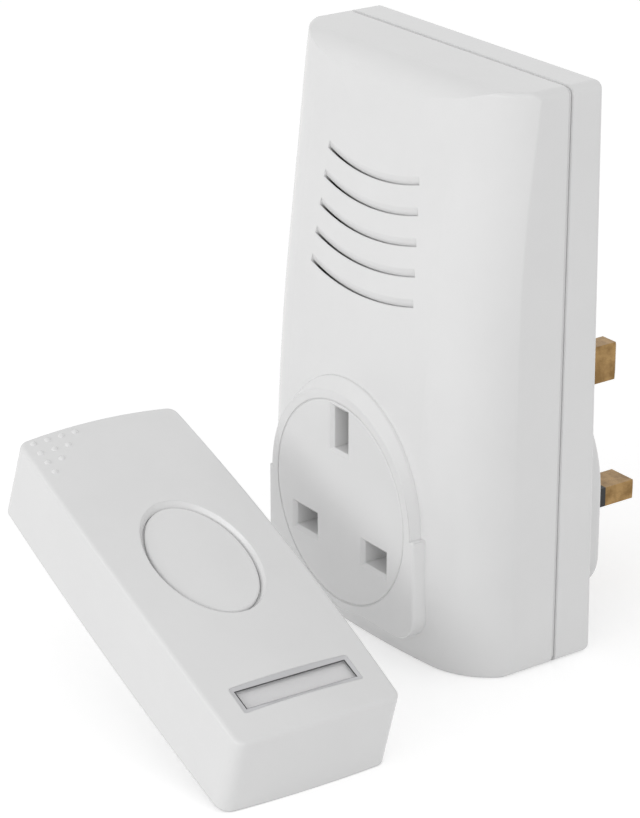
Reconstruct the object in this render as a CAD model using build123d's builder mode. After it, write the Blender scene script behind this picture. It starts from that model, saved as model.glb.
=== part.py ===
from build123d import *
import math
import os

# A wireless doorbell in two pieces: a plug-through chime that stands upright on its foot, and the
# bell push that belongs beside the front door. The chime plugs into a wall socket with its three
# rear pins and offers a socket of its own in front. All sizes are in millimetres.
# Row frame: X to the right seen from the front, Y towards the wall, Z up. The origin is the middle
# of the chime's foot, where the front shell stands.

os.makedirs("parts", exist_ok=True)

# Shared clearances and cut overrun
overrun = 1.0
mould_gap = 0.1
seat_gap = 0.15
slide_gap = 0.3

# Chime housing
chime_width = 67.0
chime_height = 113.0
seam_setback = 8.0
case_corner = 1.7
inner_corner = 0.5
shell_wall = 2.0
edge_soft = 0.8
crown_depth = 24.15
strip_depth = 10.0
face_half_width = 21.0
face_sag = 1.2
shoulder_radius = 6.0
shoulder_setback = 2.8
shoulder_slope_angle = 9.0
section_height_shares = [0.0, 0.10, 0.32, 0.57, 0.76, 0.88, 1.0]
section_crown_shares = [0.826, 0.991, 1.0, 0.916, 0.8095, 0.747, 0.668]
section_strip_shares = [0.96, 1.0, 1.0, 0.99, 0.92, 0.78, 0.62]

# Joint line between the two housing shells
seam_gap = 0.85
seam_depth = 0.45
tongue_reach = 2.2
lip_thickness = 1.0

# Rear case and plug boss
rear_depth_top = 8.0
rear_depth_foot = 9.6
rear_edge_soft = 1.2
plug_reach = 19.3
plug_half_width = 24.6
plug_arch_height = 27.5
plug_foot = 6.0
plug_corner = 8.0
plug_wall = 2.2
plug_face_wall = 3.0
plug_edge_soft = 1.6

# Socket platform on the front
socket_reach = 25.6
socket_height = 27.95
disc_radius = 20.2
disc_gap = 0.15
ring_width = 1.85
platform_half_width = 23.3
platform_foot = 6.6
platform_corner = 6.0
platform_edge_soft = 0.5
platform_crest = 2.4
crest_depth = 2.0
flare_angle = 62.0
flare_rise = 2.0

# Pins and apertures of the 13 A plug and socket pattern
pin_offset = 11.1
earth_rise = 22.2
line_height = 20.4
line_pin_width = 6.35
line_pin_height = 3.97
line_pin_length = 17.7
earth_pin_width = 3.97
earth_pin_height = 7.92
earth_pin_length = 22.7
pin_tip_chamfer = 1.2
sleeve_length = 9.5
sleeve_thickness = 0.65
pin_shank = 7.5
pin_head_thickness = 1.5
pin_head_margin = 1.0
line_aperture_width = 6.9
line_aperture_height = 4.5
earth_aperture_width = 4.6
earth_aperture_height = 8.4
aperture_chamfer = 0.7

# Socket moulding, shutter and brass contacts
disc_thickness = 2.4
disc_edge_soft = 0.3
skirt_thickness = 1.6
skirt_depth = 5.1
flange_radius = 22.8
flange_thickness = 1.2
collar_wall = 1.1
shutter_thickness = 1.6
shutter_half_width = 15.6
shutter_half_height = 3.4
shutter_stem_half_width = 3.5
shutter_travel = 6.0
ramp_depth = 5.0
ramp_half_width = 1.5
spring_shelf_half_width = 3.0
spring_shelf_thickness = 1.4
spring_strip = 0.35
spring_strip_width = 4.0
contact_strip = 0.8
contact_setback = 10.1
contact_length = 11.5
contact_flare = 1.6
line_contact_width = 5.0
line_contact_gap = 3.8
earth_contact_height = 7.0
earth_contact_gap = 3.8
riser_width = 3.0
carrier_thickness = 4.0
carrier_width = 42.0
carrier_height = 44.0
carrier_corner = 4.0
carrier_leg_radius = 2.6
carrier_leg_angle = 45.0

# Sound slots
slot_count = 5
slot_width = 1.7
slot_pitch_share = 0.128
slot_top_setback = 18.8
slot_top_half_span = 13.8
slot_span_growth = 0.5
slot_sag = 1.9
slot_scoop = 0.55
slot_reach = 3.0

# Speaker
speaker_radius = 17.5
speaker_drop = 1.2
speaker_front = 15.4
speaker_rim = 1.0
speaker_rim_width = 2.4
speaker_depth = 6.0
basket_wall = 0.7
magnet_radius_share = 0.486
magnet_thickness = 3.2
cone_thickness = 0.5
dome_radius = 5.0
baffle_wall = 1.7

# Chime circuit board and what it carries
board_thickness = 1.6
chime_board_setback = 5.0
chime_board_half_width = 27.0
chime_board_rise = 3.9
chime_board_setback_top = 12.0
board_post_radius = 2.4
board_post_x = 23.5
board_post_inset = 3.5
board_screw_radius = 1.1
board_screw_head = 2.2
board_screw_head_thickness = 1.2
board_screw_length = 6.0
dropper_width = 18.0
dropper_height = 11.0
dropper_depth = 5.8
dropper_rise_share = 0.256
dropper_side_share = 0.44
smoothing_radius = 2.8
smoothing_length = 9.0
smoothing_rise_share = 0.186
chip_length = 14.0
chip_width = 6.4
chip_thickness = 2.6
chip_stand_off = 0.5
chip_leg_count = 7
chip_leg = 0.5
chip_rise_share = 0.48
module_width = 24.0
module_height = 10.0
module_thickness = 1.2
module_can = 2.6
module_rise_share = 0.77
coil_radius = 2.4
coil_wire = 0.7
coil_length = 9.0

# Screws that hold the case together, driven in from the back
case_screw_x = 27.0
case_screw_inset = 7.2
case_screw_radius = 1.5
case_screw_head = 2.8
case_screw_head_thickness = 1.8
case_screw_length = 11.0
case_screw_bite = 7.5
case_post_radius = 3.4
case_well_radius = 3.1
case_well_wall = 1.2

# Bell push: size, and how it lies in front of the chime
push_length = 83.7
push_width = 34.4
push_height = 18.0
push_crown = 1.0
push_arch = 0.9
push_end_bow = 0.6
push_side_bow = 0.8
push_draft_angle = 1.5
push_corner = 2.6
push_edge_soft = 0.9
push_wall = 1.6
push_foot_x = 46.2
push_foot_y = -57.6
push_tilt_angle = 19.9
push_turn_angle = -2.6

# Bell push face
button_offset = 1.0
button_half_length = 14.15
button_half_width = 9.0
button_gap = 0.3
button_drop = 0.7
button_lip = 1.1
button_lip_thickness = 1.0
button_skirt = 0.2
button_edge_soft = 0.4
button_travel = 0.5
button_stem_radius = 2.2
bevel_width = 0.9
bevel_depth = 1.5
label_inset = 9.3
label_length = 24.2
label_width = 6.0
label_corner = 0.4
label_recess = 2.1
label_bevel = 0.3
label_floor = 1.2
card_thickness = 0.3
window_thickness = 0.6
dot_rows = 4
dot_pitch = 2.87
dot_inset_x = 2.0
dot_inset_y = 3.0
dot_radius = 0.6
dot_rise = 0.26

# Bell push back plate
plate_thickness = 1.4
plate_recess = 0.2
plate_hole_radius = 2.0
plate_hole_inset = 4.85
plate_rib_width = 1.2
plate_clip_width = 8.0
plate_clip_height = 3.0
plate_clip_thickness = 1.1

# Bell push electronics
push_board_inset = 7.0
push_board_reach = 3.7
push_board_half_width = 14.0
push_board_level = 7.0
push_board_thickness = 1.2
push_post_radius = 1.8
push_post_inset = 3.5
push_post_y = 11.0
push_near_post_inset = 4.8
push_near_post_y = 12.6
push_screw_radius = 0.9
push_screw_head = 1.7
push_screw_head_thickness = 1.0
push_screw_length = 5.0
switch_size = 6.0
switch_body_height = 3.4
plunger_radius = 1.75
plunger_rise = 0.9
encoder_share = 0.53
encoder_length = 8.7
encoder_width = 4.0
encoder_thickness = 1.6
resonator_share = 0.2
resonator_radius = 4.0
resonator_height = 3.2
battery_radius = 5.15
battery_length = 27.6
battery_gap = 2.2
battery_level = 7.05
battery_nub_radius = 2.0
battery_nub = 0.8
battery_edge_soft = 0.5
cradle_rib = 1.2
cradle_rib_half_width = 6.6
cradle_left_share = 0.42
cradle_right_share = 0.74
cradle_height = 3.0
push_contact_strip = 0.4
push_contact_width = 7.0
push_contact_height = 7.0
push_tail_width = 2.0
push_tail_lap = 0.6
battery_run_y = 7.2


def facing(y):
    """A sketch plane that looks forwards from depth y: sketch X is row X, sketch Y is row Z."""
    return Plane.XZ.offset(-y)


def finish(piece, name):
    """Label a finished piece and write it to its own file."""
    piece.part.label = name
    export_step(piece.part, f"parts/{name}.step")


# Depths that several pieces share, measured along Y
socket_face_y = seam_setback - socket_reach
flange_front_y = socket_face_y + skirt_depth
flange_back_y = flange_front_y + flange_thickness
shutter_front_y = flange_back_y + mould_gap
shutter_back_y = shutter_front_y + shutter_thickness
contact_front_y = socket_face_y + contact_setback
contact_back_y = contact_front_y + contact_length
plug_face_y = seam_setback + plug_reach
carrier_middle = line_height + earth_rise / 2
chime_board_foot = carrier_middle + carrier_height / 2 + chime_board_rise
chime_board_top = chime_height - chime_board_setback_top
chime_board_height = chime_board_top - chime_board_foot
slot_pitch = slot_pitch_share * chime_board_height
slot_top_height = chime_height - slot_top_setback
speaker_height = slot_top_height - slot_pitch * (slot_count - 1) / 2 - speaker_drop
magnet_radius = magnet_radius_share * speaker_radius
basket_back_radius = magnet_radius
pin_head_y = plug_face_y - plug_face_wall - pin_head_thickness
pin_root_y = pin_head_y - (pin_shank - pin_head_thickness - plug_face_wall)
chime_board_y = seam_setback - chime_board_setback
speaker_front_y = seam_setback - speaker_front
earth_height = line_height + earth_rise
ring_radius = disc_radius + disc_gap + ring_width
back_wall_y = seam_setback + rear_depth_top - shell_wall


# Front shell of the chime: plan sections from foot to top, cut to the housing's front view
def plan_section(height_share, crown_share, strip_share, inset, lift):
    half = chime_width / 2 - inset
    crown_y = seam_setback - crown_share * crown_depth + inset
    knee_y = crown_y + face_sag
    strip_y = seam_setback - strip_share * strip_depth + inset
    with BuildSketch(Plane.XY.offset(height_share * chime_height + lift)) as section:
        with BuildLine():
            face = ThreePointArc((-face_half_width, knee_y), (0, crown_y), (face_half_width, knee_y))
            right = TangentArc(face @ 1, (half, strip_y), tangent=face % 1)
            right_tip = Line(right @ 1, right @ 1 + (right % 1) * overrun)
            left = TangentArc(face @ 0, (-half, strip_y), tangent=-(face % 0))
            left_tip = Line(left @ 1, left @ 1 + (left % 1) * overrun)
            right_side = Line(right_tip @ 1, ((right_tip @ 1).X, seam_setback + overrun))
            left_side = Line(left_tip @ 1, ((left_tip @ 1).X, seam_setback + overrun))
            Line(right_side @ 1, left_side @ 1)
        make_face()
    return section.sketch


def front_form(inset, rear_overrun, soft_edges=False):
    """The front shell's outer form drawn in by inset, from the seam forwards."""
    last = len(section_height_shares) - 1
    top = chime_height - inset
    setback = -shoulder_setback + inset
    reach = chime_width + crown_depth
    with BuildPart() as form:
        for index, share in enumerate(section_height_shares):
            lift = {0: -overrun, last: overrun}.get(index, 0)
            add(plan_section(share, section_crown_shares[index], section_strip_shares[index], inset, lift))
        loft()
        with BuildSketch(facing(seam_setback + rear_overrun)):
            with Locations((0, chime_height / 2)):
                RectangleRounded(chime_width - 2 * inset, chime_height - 2 * inset, case_corner)
        extrude(amount=reach, mode=Mode.INTERSECT)
        if soft_edges:
            rims = form.edges().filter_by(GeomType.BSPLINE)
            fillet(rims.filter_by(lambda edge: abs(abs(edge.center().X) - face_half_width) > mould_gap),
                   edge_soft)
        with BuildSketch(Plane.YZ):
            with BuildLine():
                lid = Line((seam_setback + 2 * overrun, top), (setback, top))
                bend = CenterArc((setback, top - shoulder_radius), shoulder_radius, 90,
                                 90 - shoulder_slope_angle)
                fall = Line(bend @ 1, bend @ 1 + (bend % 1) * (chime_height + crown_depth))
                sole = Line(fall @ 1, (seam_setback + 2 * overrun, (fall @ 1).Y))
                Line(sole @ 1, lid @ 0)
            make_face()
        extrude(amount=chime_width, both=True, mode=Mode.INTERSECT)
    return form.part


def platform_outline(grow):
    """The socket platform seen from the front: an arch round the disc over a rounded foot."""
    foot = platform_foot - grow
    with BuildSketch() as outline:
        with Locations((0, socket_height)):
            Circle(ring_radius + grow)
        with Locations((0, foot)):
            Rectangle(2 * (platform_half_width + grow), socket_height - foot,
                      align=(Align.CENTER, Align.MIN))
        corners = outline.vertices().group_by(Axis.Y)[0]
        fillet(corners, platform_corner + grow)
    return outline.sketch


def crest_outline(rise):
    """The upper half of the ring's outline, raised into an oval by rise at its top."""
    with BuildSketch() as outline:
        with Locations((0, socket_height)):
            Ellipse(ring_radius, ring_radius + rise)
            Rectangle(chime_width, chime_width, align=(Align.CENTER, Align.MIN), mode=Mode.INTERSECT)
    return outline.sketch


with BuildPart() as platform:
    with BuildSketch(facing(seam_setback)):
        add(platform_outline(0))
    extrude(amount=socket_reach)
    fillet(platform.faces().sort_by(Axis.Y)[0].edges(), platform_edge_soft)
    with BuildSketch(facing(socket_face_y)):
        add(crest_outline(0))
    with BuildSketch(facing(socket_face_y + crest_depth)):
        add(crest_outline(platform_crest))
    loft()
    with BuildSketch(facing(seam_setback)):
        add(crest_outline(platform_crest))
    extrude(amount=socket_reach - crest_depth)

with BuildPart() as speaker_baffle:
    with BuildSketch(facing(speaker_front_y)):
        with Locations((0, speaker_height)):
            Circle(speaker_radius + mould_gap + baffle_wall)
            Circle(speaker_radius - speaker_rim, mode=Mode.SUBTRACT)
    extrude(amount=crown_depth)
    with BuildSketch(facing(speaker_front_y + speaker_rim)):
        with Locations((0, speaker_height)):
            Circle(speaker_radius + mould_gap + baffle_wall)
            Circle(speaker_radius + mould_gap, mode=Mode.SUBTRACT)
    extrude(amount=speaker_rim)

case_posts = [(side * case_screw_x, height) for side in (-1, 1)
              for height in (case_screw_inset, chime_height - case_screw_inset)]
board_posts = [(side * board_post_x, height) for side in (-1, 1)
               for height in (chime_board_foot + board_post_inset, chime_board_top - board_post_inset)]

with BuildPart() as front_posts:
    with BuildSketch(facing(seam_setback)):
        with Locations(*case_posts):
            Circle(case_post_radius)
    extrude(amount=crown_depth)
    with BuildSketch(facing(chime_board_y)):
        with Locations(*board_posts):
            Circle(board_post_radius)
    extrude(amount=crown_depth)

def on_face(x, level):
    """The point of the housing's front face at x and level."""
    return min((spot for spot, _ in face_form.find_intersection_points(
        Axis((x, seam_setback - chime_width, level), (0, 1, 0)))), key=lambda spot: spot.Y)


def slot_cutter(path):
    """A sound slot: a scoop that deepens towards its lower edge, then a slit down and inwards."""
    tangent = path % 0
    inwards = (Vector(0, 1, 0) - tangent * tangent.Y).normalized()
    half = slot_width / 2
    with BuildPart() as cutter:
        with BuildSketch(Plane(origin=path @ 0, x_dir=inwards, z_dir=tangent)):
            Polygon((-overrun, half), (0, half), (slot_scoop, -half),
                    (slot_scoop + slot_reach, -half - slot_reach), (slot_reach, -half - slot_reach),
                    (0, -half), (-overrun, -half), align=None)
        sweep(path=path)
    return cutter.part


face_form = front_form(0, 0)
slot_paths = []
for row in range(slot_count):
    level = slot_top_height - row * slot_pitch
    reach = slot_top_half_span + row * slot_span_growth
    slot_paths.append(Edge.make_three_point_arc(on_face(-reach, level), on_face(0, level - slot_sag),
                                                on_face(reach, level)))

with BuildPart() as chime_front_shell:
    add(front_form(0, 0, soft_edges=True))
    add(platform.part)
    with BuildSketch(facing(socket_face_y)):
        add(platform_outline(0))
    extrude(amount=crown_depth, mode=Mode.SUBTRACT)
    with BuildSketch(facing(socket_face_y)):
        with Locations((0, socket_height)):
            Circle(ring_radius)
    extrude(amount=flare_rise, taper=-flare_angle, mode=Mode.SUBTRACT)
    add(front_form(shell_wall, overrun), mode=Mode.SUBTRACT)
    with BuildSketch(facing(seam_setback)):
        add(platform_outline(-ring_width))
    extrude(amount=socket_reach - disc_thickness, mode=Mode.SUBTRACT)
    with BuildSketch(facing(flange_front_y - seat_gap)):
        with Locations((0, socket_height)):
            Circle(ring_radius)
    extrude(amount=skirt_depth - seat_gap - platform_edge_soft)
    with BuildSketch(facing(flange_front_y)):
        with Locations((0, socket_height)):
            Circle(disc_radius + disc_gap)
    extrude(amount=crown_depth, mode=Mode.SUBTRACT)
    with BuildPart(mode=Mode.PRIVATE) as inside:
        add(front_form(shell_wall / 2, 0))
        add(speaker_baffle.part + front_posts.part, mode=Mode.INTERSECT)
    add(inside.part)
    for path in slot_paths:
        add(slot_cutter(path), mode=Mode.SUBTRACT)
    with BuildSketch(facing(seam_setback + tongue_reach)):
        with Locations((0, chime_height / 2)):
            RectangleRounded(chime_width - 2 * (lip_thickness + mould_gap),
                             chime_height - 2 * (lip_thickness + mould_gap),
                             inner_corner)
            RectangleRounded(chime_width - 2 * shell_wall, chime_height - 2 * shell_wall,
                             inner_corner, mode=Mode.SUBTRACT)
    extrude(amount=tongue_reach + shell_wall)
    with BuildSketch(facing(seam_setback + seam_gap - mould_gap)):
        with Locations((0, chime_height / 2)):
            RectangleRounded(chime_width - 2 * seam_depth, chime_height - 2 * seam_depth,
                             case_corner - seam_depth)
            RectangleRounded(chime_width - 2 * shell_wall, chime_height - 2 * shell_wall,
                             inner_corner, mode=Mode.SUBTRACT)
    extrude(amount=seam_gap)
    with BuildSketch(facing(seam_setback)):
        with Locations(*case_posts):
            Circle(case_screw_radius)
    extrude(amount=case_screw_bite + overrun, mode=Mode.SUBTRACT)
    with BuildSketch(facing(chime_board_y)):
        with Locations(*board_posts):
            Circle(board_screw_radius)
    extrude(amount=board_screw_length, mode=Mode.SUBTRACT)

finish(chime_front_shell, "chime_front_shell")


# Rear case with the plug boss, whose back leans in slightly towards the top
def plug_outline(grow):
    arch = plug_half_width + grow
    foot = plug_foot - grow
    with BuildSketch() as outline:
        with Locations((0, plug_arch_height)):
            Circle(arch)
        with Locations((0, foot)):
            Rectangle(2 * arch, plug_arch_height - foot, align=(Align.CENTER, Align.MIN))
        corners = outline.vertices().group_by(Axis.Y)[0]
        fillet(corners, plug_corner + grow)
    return outline.sketch


def rear_slab(inset, back_inset, front_y):
    """The rear case's slab drawn in by inset, with its sloping back drawn in by back_inset."""
    with BuildPart() as slab:
        with BuildSketch(Plane.YZ):
            with BuildLine():
                Polyline((front_y, inset), (seam_setback + rear_depth_foot - back_inset, inset),
                         (seam_setback + rear_depth_top - back_inset, chime_height - inset),
                         (front_y, chime_height - inset), close=True)
            make_face()
        extrude(amount=chime_width / 2 - inset, both=True)
        uprights = slab.edges().filter_by(lambda edge: abs(edge.tangent_at(0).Y) > 0.9)
        fillet(uprights, case_corner - min(inset, shell_wall / 2))
    return slab.part


line_pins = [(-pin_offset, line_height), (pin_offset, line_height)]

with BuildPart() as chime_rear_case:
    add(rear_slab(0, 0, seam_setback + seam_gap))
    fillet(chime_rear_case.faces().sort_by(Axis.Y)[-1].edges(), rear_edge_soft)
    with BuildSketch(facing(plug_face_y)):
        add(plug_outline(0))
    extrude(amount=plug_reach - rear_depth_top + shell_wall)
    fillet(chime_rear_case.faces().sort_by(Axis.Y)[-1].edges(), plug_edge_soft)
    add(rear_slab(shell_wall, shell_wall, seam_setback), mode=Mode.SUBTRACT)
    with BuildSketch(facing(plug_face_y - plug_face_wall)):
        add(plug_outline(-plug_wall))
    extrude(amount=plug_reach, mode=Mode.SUBTRACT)
    with BuildSketch(facing(seam_setback + tongue_reach + slide_gap)):
        with Locations((0, chime_height / 2)):
            RectangleRounded(chime_width - 2 * lip_thickness, chime_height - 2 * lip_thickness,
                             case_corner - lip_thickness)
    extrude(amount=tongue_reach + slide_gap, mode=Mode.SUBTRACT)
    with BuildSketch(facing(back_wall_y + shell_wall - mould_gap)):
        with Locations(*case_posts):
            Circle(case_well_radius + case_well_wall)
    extrude(amount=back_wall_y + shell_wall - seam_setback - 2 * mould_gap)
    with BuildSketch(facing(seam_setback + rear_depth_foot + overrun)):
        with Locations(*case_posts):
            Circle(case_well_radius)
    extrude(amount=overrun + rear_depth_foot + case_screw_bite + case_screw_head_thickness
            - case_screw_length, mode=Mode.SUBTRACT)
    with BuildSketch(facing(seam_setback + rear_depth_foot)):
        with Locations(*case_posts):
            Circle(case_screw_radius + mould_gap)
    extrude(amount=rear_depth_foot + overrun, mode=Mode.SUBTRACT)
    with BuildSketch(facing(plug_face_y + overrun)):
        with Locations(*line_pins):
            Rectangle(line_pin_width + mould_gap, line_pin_height + mould_gap)
        with Locations((0, earth_height)):
            Rectangle(earth_pin_width + mould_gap, earth_pin_height + mould_gap)
    extrude(amount=plug_face_wall + 2 * overrun, mode=Mode.SUBTRACT)

finish(chime_rear_case, "chime_rear_case")

# Case screws: pan heads in the rear wells, threads in the front posts
screw_head_y = seam_setback + case_screw_length - case_screw_head_thickness - case_screw_bite
with BuildPart() as case_screws:
    with BuildSketch(facing(seam_setback + case_screw_length - case_screw_bite)):
        with Locations(*case_posts):
            Circle(case_screw_head)
    extrude(amount=case_screw_head_thickness)
    fillet(case_screws.edges().group_by(Axis.Y)[-1], case_screw_head_thickness / 2)
    with BuildSketch(facing(screw_head_y)):
        with Locations(*case_posts):
            Circle(case_screw_radius - mould_gap / 2)
    extrude(amount=case_screw_bite + screw_head_y - seam_setback)
    with BuildSketch(facing(seam_setback + case_screw_length - case_screw_bite)):
        with Locations(*case_posts):
            Rectangle(2 * case_screw_radius, slot_width / 2)
            Rectangle(slot_width / 2, 2 * case_screw_radius)
    extrude(amount=case_screw_head_thickness / 2, mode=Mode.SUBTRACT)

finish(case_screws, "case_screws")


# Socket moulding: the disc, its skirt and flange, and a collar behind each aperture
def apertures(grow):
    with BuildSketch() as holes:
        with Locations(*line_pins):
            Rectangle(line_aperture_width + 2 * grow, line_aperture_height + 2 * grow)
        with Locations((0, earth_height)):
            Rectangle(earth_aperture_width + 2 * grow, earth_aperture_height + 2 * grow)
    return holes.sketch


with BuildPart() as socket_face:
    with BuildSketch(facing(flange_front_y)):
        with Locations((0, socket_height)):
            Circle(disc_radius)
    extrude(amount=skirt_depth)
    fillet(socket_face.faces().sort_by(Axis.Y)[0].edges(), disc_edge_soft)
    with BuildSketch(facing(flange_back_y)):
        with Locations((0, socket_height)):
            Circle(flange_radius)
    extrude(amount=flange_thickness)
    with BuildSketch(facing(flange_back_y)):
        with Locations((0, socket_height)):
            Circle(disc_radius - skirt_thickness)
    extrude(amount=skirt_depth + flange_thickness - disc_thickness, mode=Mode.SUBTRACT)
    with BuildSketch(facing(flange_back_y)):
        add(apertures(collar_wall))
        with Locations((0, socket_height)):
            Circle(disc_radius, mode=Mode.INTERSECT)
    extrude(amount=skirt_depth + flange_thickness - disc_thickness)
    with BuildSketch(facing(flange_back_y)):
        add(apertures(0))
    extrude(amount=skirt_depth + flange_thickness, mode=Mode.SUBTRACT)
    with BuildSketch(facing(socket_face_y)):
        add(apertures(aperture_chamfer))
    extrude(amount=-aperture_chamfer, taper=45, mode=Mode.SUBTRACT)
    shelf_level = socket_height - flange_radius + spring_shelf_thickness
    with BuildSketch(facing(shutter_back_y + spring_shelf_half_width)):
        with Locations((0, shelf_level)):
            Rectangle(2 * spring_shelf_half_width, spring_shelf_thickness,
                      align=(Align.CENTER, Align.MIN))
    extrude(amount=shutter_back_y + spring_shelf_half_width - flange_front_y)

finish(socket_face, "socket_face")

# Shutter: closes the two lower apertures until the earth pin rides down its ramp
ramp_foot = earth_height - earth_pin_height / 2 - ramp_depth / 4
with BuildPart() as socket_shutter:
    with BuildSketch(facing(shutter_back_y)):
        with Locations((0, line_height)):
            Rectangle(2 * shutter_half_width, 2 * shutter_half_height)
        with Locations((0, line_height)):
            Rectangle(2 * shutter_stem_half_width, ramp_foot - line_height,
                      align=(Align.CENTER, Align.MIN))
    extrude(amount=shutter_thickness)
    with BuildSketch(Plane.YZ):
        with BuildLine():
            Polyline((shutter_front_y, ramp_foot - ramp_depth), (shutter_back_y, ramp_foot - ramp_depth),
                     (shutter_back_y + ramp_depth, ramp_foot - shutter_thickness),
                     (shutter_back_y + ramp_depth, ramp_foot + ramp_depth - shutter_thickness),
                     (shutter_back_y, ramp_foot), (shutter_front_y, ramp_foot), close=True)
        make_face()
    extrude(amount=ramp_half_width, both=True)

finish(socket_shutter, "socket_shutter")

# Shutter spring: a folded leaf between the socket moulding's shelf and the shutter's lower edge
spring_low = shelf_level + spring_shelf_thickness + mould_gap
spring_high = line_height - shutter_half_height - mould_gap
spring_middle = (spring_low + spring_high) / 2
with BuildPart() as shutter_spring:
    with BuildSketch(Plane.YZ):
        with BuildLine():
            Polyline((shutter_front_y + spring_strip, spring_low + spring_strip / 2),
                     (shutter_back_y + spring_strip, spring_low + spring_strip / 2),
                     (shutter_front_y + spring_strip, spring_middle),
                     (shutter_back_y + spring_strip, spring_high - spring_strip / 2),
                     (shutter_front_y + spring_strip, spring_high - spring_strip / 2))
        trace(line_width=spring_strip)
    extrude(amount=spring_strip_width / 2, both=True)

finish(shutter_spring, "shutter_spring")


# Brass contacts: two sprung leaves, a web behind them, a tail to the pin and a riser to the board
def line_contact(x, name):
    leaf = line_contact_gap / 2 + contact_strip / 2
    reach = contact_back_y - contact_strip / 2
    riser_top = chime_board_foot + riser_width
    with BuildPart() as contact:
        with BuildSketch(Plane.YZ.offset(x)):
            with BuildLine():
                Polyline((contact_front_y, line_height + leaf + contact_flare),
                         (contact_front_y + contact_flare, line_height + leaf),
                         (reach, line_height + leaf), (reach, line_height - leaf),
                         (contact_front_y + contact_flare, line_height - leaf),
                         (contact_front_y, line_height - leaf - contact_flare))
            trace(line_width=contact_strip)
            with BuildLine():
                Line((reach, line_height), (pin_root_y - mould_gap, line_height))
            trace(line_width=contact_strip)
        extrude(amount=line_contact_width / 2, both=True)
        with BuildSketch(facing(contact_back_y)):
            with Locations((x, line_height + leaf)):
                Rectangle(riser_width, riser_top - line_height - leaf,
                          align=(Align.CENTER, Align.MIN))
        extrude(amount=contact_strip)
    finish(contact, name)
    return contact.part


live_contact = line_contact(pin_offset, "live_contact")
neutral_contact = line_contact(-pin_offset, "neutral_contact")

with BuildPart() as earth_contact:
    side = earth_contact_gap / 2 + contact_strip / 2
    reach = contact_back_y - contact_strip / 2
    with BuildSketch(Plane.XY.offset(earth_height)):
        with BuildLine():
            Polyline((side + contact_flare, contact_front_y), (side, contact_front_y + contact_flare),
                     (side, reach), (-side, reach), (-side, contact_front_y + contact_flare),
                     (-side - contact_flare, contact_front_y))
        trace(line_width=contact_strip)
        with BuildLine():
            Line((0, reach), (0, pin_root_y - mould_gap))
        trace(line_width=contact_strip)
    extrude(amount=earth_contact_height / 2, both=True)

finish(earth_contact, "earth_contact")


# Plug pins: a bar with a bevelled tip, a head behind the plug's face and a root for the contact
def plug_pin(name, x, level, width, height, length, sleeved):
    tip_y = plug_face_y + length
    with BuildPart() as pin:
        with BuildSketch(facing(tip_y)):
            with Locations((x, level)):
                Rectangle(width, height)
        extrude(amount=tip_y - pin_root_y)
        chamfer(pin.faces().sort_by(Axis.Y)[-1].edges(), pin_tip_chamfer)
        with BuildSketch(facing(pin_head_y + pin_head_thickness)):
            with Locations((x, level)):
                Rectangle(width + 2 * pin_head_margin, height + 2 * pin_head_margin)
        extrude(amount=pin_head_thickness)
        if sleeved:
            with BuildSketch(facing(plug_face_y + sleeve_length)):
                with Locations((x, level)):
                    Rectangle(width + overrun, height + overrun)
                    Rectangle(width - 2 * sleeve_thickness, height - 2 * sleeve_thickness,
                              mode=Mode.SUBTRACT)
            extrude(amount=sleeve_length, mode=Mode.SUBTRACT)
    finish(pin, name)
    return pin.part


live_pin = plug_pin("live_pin", pin_offset, line_height, line_pin_width, line_pin_height,
                    line_pin_length, True)
neutral_pin = plug_pin("neutral_pin", -pin_offset, line_height, line_pin_width, line_pin_height,
                       line_pin_length, True)
earth_pin = plug_pin("earth_pin", 0, earth_height, earth_pin_width, earth_pin_height,
                     earth_pin_length, False)

with BuildPart() as pin_sleeves:
    with BuildSketch(facing(plug_face_y + sleeve_length)):
        with Locations(*line_pins):
            Rectangle(line_pin_width, line_pin_height)
            Rectangle(line_pin_width - 2 * sleeve_thickness, line_pin_height - 2 * sleeve_thickness,
                      mode=Mode.SUBTRACT)
    extrude(amount=sleeve_length)

finish(pin_sleeves, "pin_sleeves")

# Contact carrier: the insulating block that the contacts' tails pass through
carrier_front_y = contact_back_y + mould_gap
carrier_leg_reach = plug_half_width - plug_wall - carrier_leg_radius - slide_gap
with BuildPart() as contact_carrier:
    with BuildSketch(facing(carrier_front_y + carrier_thickness)):
        with Locations((0, carrier_middle)):
            RectangleRounded(carrier_width, carrier_height, carrier_corner)
    extrude(amount=carrier_thickness)
    with BuildSketch(facing(plug_face_y - plug_face_wall - mould_gap)):
        with Locations((0, plug_arch_height)):
            with PolarLocations(carrier_leg_reach, 4, start_angle=carrier_leg_angle,
                                angular_range=360):
                Circle(carrier_leg_radius)
    extrude(amount=plug_face_y - plug_face_wall - carrier_front_y - mould_gap)
    with BuildSketch(facing(carrier_front_y + carrier_thickness + overrun)):
        with Locations(*line_pins):
            Rectangle(line_contact_width + 2 * seat_gap, contact_strip + 2 * seat_gap)
        with Locations((0, earth_height)):
            Rectangle(contact_strip + 2 * seat_gap, earth_contact_height + 2 * seat_gap)
    extrude(amount=carrier_thickness + 2 * overrun, mode=Mode.SUBTRACT)

finish(contact_carrier, "contact_carrier")

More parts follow.
